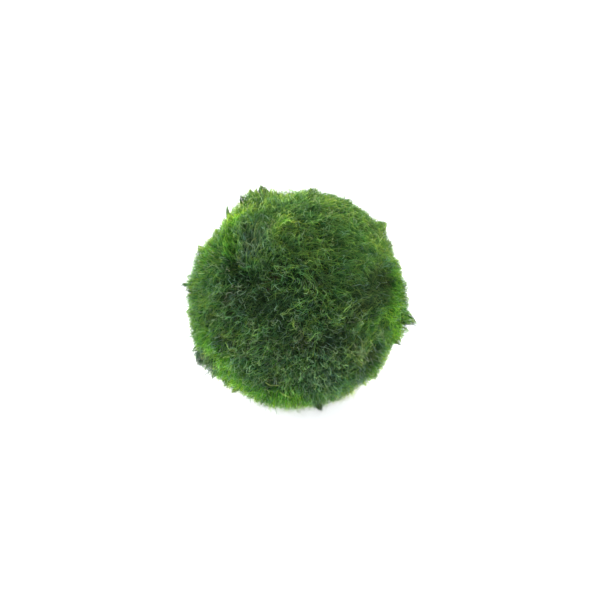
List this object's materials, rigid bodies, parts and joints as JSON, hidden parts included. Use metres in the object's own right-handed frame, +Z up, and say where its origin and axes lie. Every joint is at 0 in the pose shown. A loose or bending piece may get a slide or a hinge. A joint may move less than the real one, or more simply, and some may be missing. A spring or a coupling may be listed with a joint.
{
  "type": "marimo moss ball",
  "caption": "Shaggy ball of matted green algae with combed tufts and pointed locks, resting on a small flat spot, for an aquarium floor or a jar.",
  "frame": {"origin": "on the plane of the small flat rest spot, under the middle of the ball's bounding box", "axes": "+Z up, away from the surface that the ball rests on; -Y towards the pictured front; +X to the viewer's right"},
  "size_m": [0.0514, 0.051, 0.0485],
  "materials": {
    "moss_ball": "matted algae filaments, dull, deep green"
  },
  "bodies": {
    "root": {"moss_ball": "moss_ball"}
  },
  "joints": []
}
